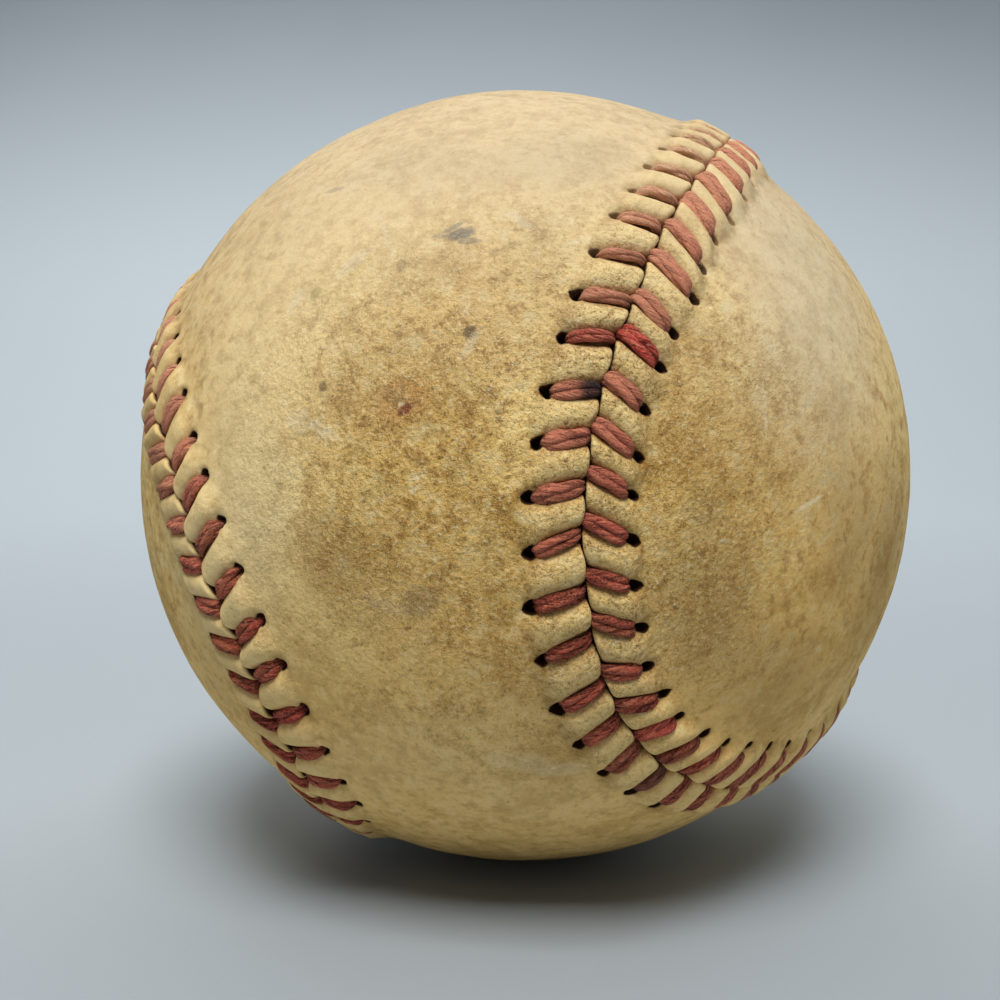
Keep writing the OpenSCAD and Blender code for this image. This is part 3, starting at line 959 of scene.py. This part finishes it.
def leather_spots(p):
    """The photograph's tones and marks, and others on the far side, each with a ragged edge."""
    wobble = p.times_plus(p.mottle, 0.9, -0.45)
    wobble = p.times_plus(p.speck, 0.5, p.math("SUBTRACT", wobble, 0.25))
    spots = [(on_ball(x, y), *rest) for x, y, *rest in TONES + MARKS]
    spots += far_marks((BROWN, CREAM, BROWN, AMBER, CREAM), 10, (7, 14))
    spots += far_marks((DEEP, INK, RUST, PALE, DEEP), 12, (0.3, 1.6))
    for point, long_half, short_half, turn, tint, strength in spots:
        scale = Vector((long_half, short_half, 1.5 * long_half)) * SPOT_REACH
        local = p.mapped(p.at, point, lie_at(point, turn), scale)
        # Longer chains of vector nodes turned the leather black
        near = p.node("TexGradient", {"gradient_type": "SPHERICAL"}, Vector=local).outputs["Fac"]
        ragged, faint_at, full_at = TONE_EDGE if long_half > BROAD_FROM else MARK_EDGE
        near = p.times_plus(wobble, -ragged / SPOT_REACH, near)
        p.stain(near, 1 - faint_at / SPOT_REACH, 1 - full_at / SPOT_REACH, strength, tint)


def leather_wear_and_painted_light(p):
    """Rubbed sides, painted light that pales and warms the lower half, painted shade on the underside and on
    a duller top, and painted light and shade of the nap.
    """
    rubbed = p.times(p.math("SUBTRACT", 1.0, p.crisp), p.ramp(p.height_of, -18.0, 12.0, 0, 0.30))
    p.lay(rubbed, (224, 202, 156))
    # Painted light: the lower half is made paler and warmer
    p.stain(p.height_of, 2.0, -22.0, 0.44, (255, 210, 132))
    # Painted shade: the underside is darker
    p.stain(p.height_of, -25.0, -35.0, 0.50, (140, 114, 76))
    # Painted shade: the top is made duller and greyer
    p.stain(p.height_of, 0.0, 36.0, 0.62, (184, 170, 148))
    # Painted light and shade of the nap: clouds of several sizes make the colour lighter or darker
    relief = p.times_plus(p.cloud, 0.38, p.times(p.mottle, 0.32))
    relief = p.times_plus(p.patch, 0.30, relief)
    shade = p.mix(p.ramp(relief, 0.42, 0.58), (1.26, 1.27, 1.30, 1), (0.80, 0.755, 0.67, 1))
    p.lay(p.times_plus(p.crisp, 0.20, 0.16), shade, "MULTIPLY")


def leather_pads(p):
    """Paler pads beside the seam, with a blush at their feet that is partly dye from the thread and partly
    painted shade.
    """
    p.pad, p.pit, p.across = p.value("pad"), p.value("pit"), p.value("across")
    p.lay(p.times(p.pad, 0.36), (236, 208, 146))
    # Partly dye from the thread, partly painted shade at the pads' feet beside the legs
    dye_and_shade_blush = p.times(p.ramp(p.pad, 0.85, 0.3), p.ramp(p.across, 4.0, 2.6), clamp=True)
    p.lay(p.times(dye_and_shade_blush, p.ramp(p.cloud, 0.35, 0.6, 0.25, 0.62)), (178, 112, 68))


def leather_specks(p):
    """Clusters of dirt, then specks of the nap: darker pores and rubbed high spots."""
    dirt = p.noise(p.at, 1.9, 5, 0.72, 0.2)
    dirty = p.times(p.ramp(dirt, 0.60, 0.72, 0, 0.52), p.ramp(p.patch, 0.44, 0.60, 0.1, 1.0))
    p.lay(dirty, (98, 70, 30))
    uneven = p.times(p.crisp, p.ramp(p.mottle, 0.36, 0.60, 0.6, 1.1))
    uneven = p.times(uneven, p.times_plus(p.pad, 0.4, 1.0))
    p.stain(p.speck, 0.47, 0.34, 0.55, (122, 88, 40), uneven)
    p.stain(p.speck, 0.53, 0.68, 0.62, (246, 227, 176), uneven)
    p.stain(p.dust, 0.44, 0.30, 0.55, (92, 64, 28), uneven)
    p.stain(p.dust, 0.56, 0.72, 0.42, (248, 231, 184), uneven)


def leather_grime_and_shade(p):
    """Grime round the holes, and painted shade between the pads and in the holes and the groove, with pale
    dust in it on top.
    """
    near_hole = p.ramp(p.math("ABSOLUTE", p.math("SUBTRACT", p.across, REACH)), 1.1, 0.2)
    grime = p.times(near_hole, p.math("SUBTRACT", 1.0, p.pad, clamp=True))
    grime = p.times(grime, p.ramp(p.mottle, 0.25, 0.65))
    p.lay(p.times(grime, 0.4), (134, 98, 48))
    # Painted shade in the valleys between the pads, beside the legs
    valley = p.math("ADD", p.pad, p.ramp(p.across, 2.6, 4.4))
    p.stain(valley, 0.45, 0.05, 0.75, (112, 66, 38))
    # Painted shade, near black, in the holes and down the groove; paler, with dust, towards the top
    dusty = p.ramp(p.height_of, 13.0, 27.0, 0, 0.95)
    p.lay(p.ramp(p.pit, 0.05, 0.6), p.mix(dusty, (54, 30, 17), (160, 130, 92)))


def leather():
    p = Paint("aged_leather")
    leather_ground(p)
    leather_clouds(p)
    leather_spots(p)
    leather_wear_and_painted_light(p)
    leather_pads(p)
    leather_specks(p)
    leather_grime_and_shade(p)
    # Height of the nap for the bump
    pores = p.node("TexVoronoi", {"feature": "SMOOTH_F1"}, Vector=p.at, Scale=2.3, Smoothness=0.6)
    height = p.times_plus(p.speck, 1.0, p.times(p.dust, 0.5))
    height = p.times_plus(pores.outputs["Distance"], 0.55, height)
    height = p.times_plus(p.mottle, 0.9, height)
    rough = p.ramp(p.patch, 0.3, 0.7, 0.62, 0.80)
    height = p.times(height, p.crisp)
    return p.finish(rough, height, LEATHER_NAP, Specular_IOR_Level=0.06)


def thread_paint():
    p = Paint("faded_thread")
    fibre = p.node("UVMap", {"uv_map": "fibre"}).outputs[0]
    slant = p.node("SeparateXYZ", Vector=fibre)
    x, y = slant.outputs[0], slant.outputs[1]
    twisted = p.times_plus(y, 0.4, x)
    tone, grime, stain, fade = (p.value(key) for key in ("tone", "grime", "stain", "fade"))
    apart = p.times(tone, 40.0)
    strands = p.node("CombineXYZ", X=p.times(twisted, 4.6), Y=p.times(y, 0.4), Z=apart)
    streak = p.noise(strands.outputs[0], 1.0, 4, 0.7, 0.4)
    at = p.millimetres()
    speck = p.noise(at, 6.0, 3, 0.65)
    fresh = p.times_plus(fade, -0.85, 1.0, clamp=True)
    p.base = p.mix(tone, (208, 108, 72), (226, 82, 69))
    p.lay(p.times(fade, 0.85, clamp=True), (255, 192, 152))
    p.lay(p.math("SUBTRACT", fade, 1.0, clamp=True), (250, 222, 174))
    # Dark streaks and specks: the fibres' own colour, and painted shade in the crevices between them
    p.stain(streak, 0.50, 0.38, 0.90, (88, 24, 16), fresh)
    p.stain(speck, 0.44, 0.34, 0.30, (84, 28, 16), fresh)
    # Pale streaks and specks: faded fibres, and painted highlights on them
    p.stain(streak, 0.52, 0.64, 0.65, (241, 152, 116))
    p.stain(speck, 0.53, 0.64, 0.45, (241, 173, 134))
    # Each leg's grime, and darker towards both of its ends
    dirty = p.times(grime, fresh)
    p.lay(p.times(p.ramp(speck, 0.70, 0.30), dirty, clamp=True), (64, 26, 15))
    p.lay(p.times(dirty, 0.35), (84, 38, 24))
    p.lay(p.times(stain, p.ramp(speck, 0.30, 0.46, 0.45, 0.95), clamp=True), (46, 38, 42))
    height = p.times_plus(speck, 0.5, p.times(streak, 1.3))
    return p.finish(0.85, height, THREAD_NAP, Specular_IOR_Level=0.2, Sheen_Weight=0.04, Sheen_Roughness=0.4)


# Hidden layers: name of the material, base, dark and pale colour, grain in mm, roughness, kind of pattern
INNER = {
    "cork": ("pressed_cork", (176, 136, 92), (92, 62, 38), (208, 172, 126), 1.6, 0.85, "granules"),
    "black_rubber": ("black_moulded_rubber", (26, 26, 28), (12, 12, 13), (52, 52, 54), 0.5, 0.55, "mould"),
    "red_rubber": ("red_moulded_rubber", (150, 40, 32), (96, 24, 20), (184, 76, 62), 0.5, 0.55, "mould"),
    "grey_wool": ("grey_wool_yarn", (142, 138, 132), (84, 80, 76), (190, 186, 178), 0.9, 0.95, "yarn"),
    "white_wool": ("white_wool_yarn", (224, 216, 198), (160, 150, 130), (244, 238, 224), 0.9, 0.95, "yarn"),
    "cotton": ("cotton_thread", (232, 224, 204), (176, 166, 142), (248, 242, 228), 0.4, 0.85, "yarn"),
    "cement": ("rubber_cement", (196, 170, 116), (140, 112, 70), (222, 202, 156), 1.2, 0.45, "mould"),
}


def inner_paint(name, base, dark, pale, grain, rough, kind):
    p = Paint(name)
    at = p.millimetres()
    blotch = p.noise(at, 0.25 / grain, 5, 0.6)
    if kind == "granules":
        cells = p.node("TexVoronoi", {"feature": "F1"}, Vector=at, Scale=1 / grain)
        shade = p.node("SeparateColor", Color=cells.outputs["Color"]).outputs[0]
        height = p.math("SUBTRACT", 1.0, cells.outputs["Distance"])
    elif kind == "yarn":
        warp = p.vector("ADD", at, p.vector("MULTIPLY", p.noise(at, 0.12, 2, 0.5, 0, "Color"), (9, 9, 9)))
        bands = {"wave_type": "BANDS", "bands_direction": "DIAGONAL"}
        waves = p.node("TexWave", bands, Vector=warp, Scale=0.32 / grain, Distortion=2.0, Detail=3.0)
        height = shade = waves.outputs["Fac"]
    else:
        height = shade = p.noise(at, 1 / grain, 3, 0.5)
    p.base = p.mix(p.ramp(shade, 0.15, 0.85), dark, base)
    p.stain(blotch, 0.45, 0.75, 0.7, pale)
    fine = p.noise(at, 6.0, 2, 0.5)
    height = p.times_plus(fine, 0.2, height)
    rubbed = p.ramp(blotch, 0.3, 0.7, rough, min(1.0, rough + 0.12))
    return p.finish(rubbed, height, INNER_NAP, Specular_IOR_Level=0.3)


leather_paint = leather()
build_panel("leather_panel_1", -1, "cover_panel_1", leather_paint)
build_panel("leather_panel_2", 1, "cover_panel_2", leather_paint)
red_thread = thread_paint()
build_thread("stitched_thread_1", 1, "seam_thread_1", red_thread)
build_thread("stitched_thread_2", -1, "seam_thread_2", red_thread)

inner_materials = {slot: inner_paint(*values) for slot, values in INNER.items()}
slot_of = {part["node"]: part["material_slot"] for part in frame["record"]["subparts"]}
for node_name, node in frame["nodes"].items():
    if slot_of[node_name] in inner_materials:
        node.data.materials.clear()
        node.data.materials.append(inner_materials[slot_of[node_name]])


def table_paint():
    """A grey with painted light and shade: darker at the front, paler towards the back and darker up the
    wall.
    """
    p = Paint("table_paint")
    at = p.node("TexCoord").outputs["Object"]
    xyz = p.node("SeparateXYZ", Vector=at)
    depth, height = xyz.outputs[1], xyz.outputs[2]
    # Painted shade: the table darkens towards the front
    p.base = p.mix(p.ramp(depth, -0.045, 0.02), (156, 164, 170), (170, 179, 184))
    # Painted light: a pale band where the table meets the wall
    p.stain(depth, 0.0, 0.45, 1, (213, 224, 230))
    # Painted shade: the wall darkens upwards
    p.stain(height, 0.05, 0.35, 1, (122, 131, 137))
    p.stain(p.noise(at, 6.0, 3, 0.5), 0.3, 0.7, 0.06, (210, 216, 220))
    return p.finish(0.6, p.noise(at, 900.0, 2, 0.5), TABLE_NAP, Specular_IOR_Level=0.25)


# The table and the wall behind it, one sheet with a soft bend
def build_stage():
    leather_panels = [o for o in bpy.data.objects if o.name.startswith("leather_")]
    lowest = min(v.co.z for o in leather_panels for v in o.data.vertices)
    front, back, bend, top, half = -0.5, 0.75, 0.35, 1.3, 1.6
    profile = [(front, lowest), (back - bend, lowest)]
    profile += [
        (back - bend + bend * math.sin(a), lowest + bend * (1 - math.cos(a)))
        for a in np.linspace(0.1, math.pi / 2, 14)
    ]
    profile.append((back, top))
    points = [(x, y, z) for y, z in profile for x in (-half, half)]
    faces = [(2 * k, 2 * k + 1, 2 * k + 3, 2 * k + 2) for k in range(len(profile) - 1)]
    mesh = bpy.data.meshes.new("table_and_wall")
    mesh.from_pydata(points, [], faces)
    mesh.polygons.foreach_set("use_smooth", [True] * len(faces))
    mesh.materials.append(table_paint())
    floor = stand("table_and_wall", mesh)


build_stage()

# Where each soft square lamp hangs, its side in metres and its power in watts. All face the ball
LAMPS = {
    "top_lamp": ((0.02, 0.0, 0.75), 0.6, 1.8),
    "front_lamp": ((-0.015, -0.47, 0.79), 0.4, 8.1),
    "back_lamp": ((-0.12, 0.62, 0.48), 0.5, 0.8),
}
# The room's light, and the colour that the camera sees round the stage
ROOM_TINT, ROOM_POWER = (0.94, 0.97, 1.0, 1), 0.14
ROOM_SHOWN = colour(178, 188, 194)


def hang_lamp(name, at, size, power):
    data = bpy.data.lights.new(name, "AREA")
    data.shape, data.size, data.energy = "SQUARE", size, power
    lamp = stand(name, data)
    lamp.location = at
    lamp.rotation_euler = (Vector((0, 0, 0)) - Vector(at)).to_track_quat("-Z", "Y").to_euler()


def light_room():
    world = bpy.data.worlds.new("room")
    world.use_nodes = True
    room = world.node_tree
    light = room.nodes["Background"]
    light.inputs[0].default_value, light.inputs[1].default_value = ROOM_TINT, ROOM_POWER
    shown = room.nodes.new("ShaderNodeBackground")
    shown.inputs[0].default_value, shown.inputs[1].default_value = ROOM_SHOWN, 1.0
    ray = room.nodes.new("ShaderNodeLightPath")
    either = room.nodes.new("ShaderNodeMixShader")
    room.links.new(ray.outputs["Is Camera Ray"], either.inputs[0])
    room.links.new(light.outputs[0], either.inputs[1])
    room.links.new(shown.outputs[0], either.inputs[2])
    room.links.new(either.outputs[0], room.nodes["World Output"].inputs[0])
    scene.world = world


for lamp_name, settings in LAMPS.items():
    hang_lamp(lamp_name, *settings)
light_room()
scene.view_settings.view_transform = "Standard"

camera_data = bpy.data.cameras.new("camera")
camera_data.lens, camera_data.sensor_width, camera_data.clip_start = CAMERA_LENS, SENSOR, CLIP_START
camera = stand("camera", camera_data)
camera.location = CAMERA_AT
camera.rotation_euler = (CAMERA_TILT, 0, 0)
scene.camera = camera
